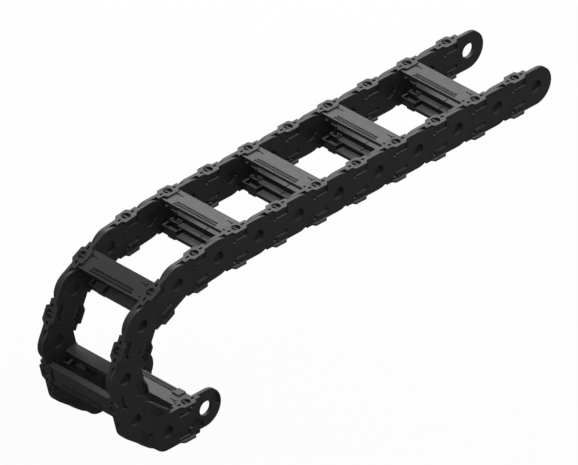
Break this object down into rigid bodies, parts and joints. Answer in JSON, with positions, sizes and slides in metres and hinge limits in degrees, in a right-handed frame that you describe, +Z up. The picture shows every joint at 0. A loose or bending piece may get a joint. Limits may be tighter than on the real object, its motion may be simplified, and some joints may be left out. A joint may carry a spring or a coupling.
{
  "type": "cable drag chain",
  "caption": "Open cable drag chain that guides cables between a fixed and a moving point, with cranked side links on hollow pins and snap-in crossbars.",
  "frame": {"origin": "on the pivot axis of the fixed end, midway between the two bands of side links", "axes": "+X along the straight upper run towards the moving end, +Y across the chain from the near band to the far band, +Z up"},
  "size_m": [0.7066, 0.1264, 0.2451],
  "materials": {
    "side_link_polyamide": "black glass-filled polyamide, moulded, satin",
    "crossbar_polyamide": "black glass-filled polyamide, moulded, satin"
  },
  "bodies": {
    "link_14": {"side_link_14_near": "side_link_polyamide", "side_link_14_far": "side_link_polyamide", "crossbar_14_outer": "crossbar_polyamide", "crossbar_14_inner": "crossbar_polyamide"},
    "link_13": {"side_link_13_near": "side_link_polyamide", "side_link_13_far": "side_link_polyamide"},
    "link_12": {"side_link_12_near": "side_link_polyamide", "side_link_12_far": "side_link_polyamide", "crossbar_12_outer": "crossbar_polyamide", "crossbar_12_inner": "crossbar_polyamide"},
    "link_11": {"side_link_11_near": "side_link_polyamide", "side_link_11_far": "side_link_polyamide"},
    "link_10": {"side_link_10_near": "side_link_polyamide", "side_link_10_far": "side_link_polyamide", "crossbar_10_outer": "crossbar_polyamide", "crossbar_10_inner": "crossbar_polyamide"},
    "link_09": {"side_link_09_near": "side_link_polyamide", "side_link_09_far": "side_link_polyamide"},
    "link_08": {"side_link_08_near": "side_link_polyamide", "side_link_08_far": "side_link_polyamide", "crossbar_08_outer": "crossbar_polyamide", "crossbar_08_inner": "crossbar_polyamide"},
    "link_07": {"side_link_07_near": "side_link_polyamide", "side_link_07_far": "side_link_polyamide"},
    "link_06": {"side_link_06_near": "side_link_polyamide", "side_link_06_far": "side_link_polyamide", "crossbar_06_outer": "crossbar_polyamide", "crossbar_06_inner": "crossbar_polyamide"},
    "link_05": {"side_link_05_near": "side_link_polyamide", "side_link_05_far": "side_link_polyamide"},
    "link_04": {"side_link_04_near": "side_link_polyamide", "side_link_04_far": "side_link_polyamide", "crossbar_04_outer": "crossbar_polyamide", "crossbar_04_inner": "crossbar_polyamide"},
    "link_03": {"side_link_03_near": "side_link_polyamide", "side_link_03_far": "side_link_polyamide"},
    "link_02": {"side_link_02_near": "side_link_polyamide", "side_link_02_far": "side_link_polyamide", "crossbar_02_outer": "crossbar_polyamide", "crossbar_02_inner": "crossbar_polyamide"},
    "link_01_near": {"side_link_01_near": "side_link_polyamide"},
    "link_01_far": {"side_link_01_far": "side_link_polyamide"}
  },
  "joints": [
    {"name": "pivot_13", "type": "hinge", "parent": "link_14", "child": "link_13", "pos_m": [-0.064, 0, 0], "axis": [0, -1, 0], "range_deg": [0, 38]},
    {"name": "pivot_12", "type": "hinge", "parent": "link_13", "child": "link_12", "pos_m": [-0.11443, 0, 0.0394], "axis": [0, -1, 0], "range_deg": [0, 38]},
    {"name": "pivot_11", "type": "hinge", "parent": "link_12", "child": "link_11", "pos_m": [-0.12992, 0, 0.1015], "axis": [0, -1, 0], "range_deg": [0, 38]},
    {"name": "pivot_10", "type": "hinge", "parent": "link_11", "child": "link_10", "pos_m": [-0.10389, 0, 0.15997], "axis": [0, -1, 0], "range_deg": [0, 38]},
    {"name": "pivot_09", "type": "hinge", "parent": "link_10", "child": "link_09", "pos_m": [-0.04738, 0, 0.19001], "axis": [0, -1, 0], "range_deg": [-16, 22]},
    {"name": "pivot_08", "type": "hinge", "parent": "link_09", "child": "link_08", "pos_m": [0.01627, 0, 0.1967], "axis": [0, -1, 0], "range_deg": [-32, 6]},
    {"name": "pivot_07", "type": "hinge", "parent": "link_08", "child": "link_07", "pos_m": [0.08027, 0, 0.1967], "axis": [0, 1, 0], "range_deg": [0, 38]},
    {"name": "pivot_06", "type": "hinge", "parent": "link_07", "child": "link_06", "pos_m": [0.14427, 0, 0.1967], "axis": [0, 1, 0], "range_deg": [0, 38]},
    {"name": "pivot_05", "type": "hinge", "parent": "link_06", "child": "link_05", "pos_m": [0.20827, 0, 0.1967], "axis": [0, 1, 0], "range_deg": [0, 38]},
    {"name": "pivot_04", "type": "hinge", "parent": "link_05", "child": "link_04", "pos_m": [0.27227, 0, 0.1967], "axis": [0, 1, 0], "range_deg": [0, 38]},
    {"name": "pivot_03", "type": "hinge", "parent": "link_04", "child": "link_03", "pos_m": [0.33627, 0, 0.1967], "axis": [0, 1, 0], "range_deg": [0, 38]},
    {"name": "pivot_02", "type": "hinge", "parent": "link_03", "child": "link_02", "pos_m": [0.40027, 0, 0.1967], "axis": [0, 1, 0], "range_deg": [0, 38]},
    {"name": "pivot_01_near", "type": "hinge", "parent": "link_02", "child": "link_01_near", "pos_m": [0.46427, 0, 0.1967], "axis": [0, 1, 0], "range_deg": [0, 38]},
    {"name": "pivot_01_far", "type": "hinge", "parent": "link_02", "child": "link_01_far", "pos_m": [0.46427, 0, 0.1967], "axis": [0, 1, 0], "range_deg": [0, 38]}
  ]
}
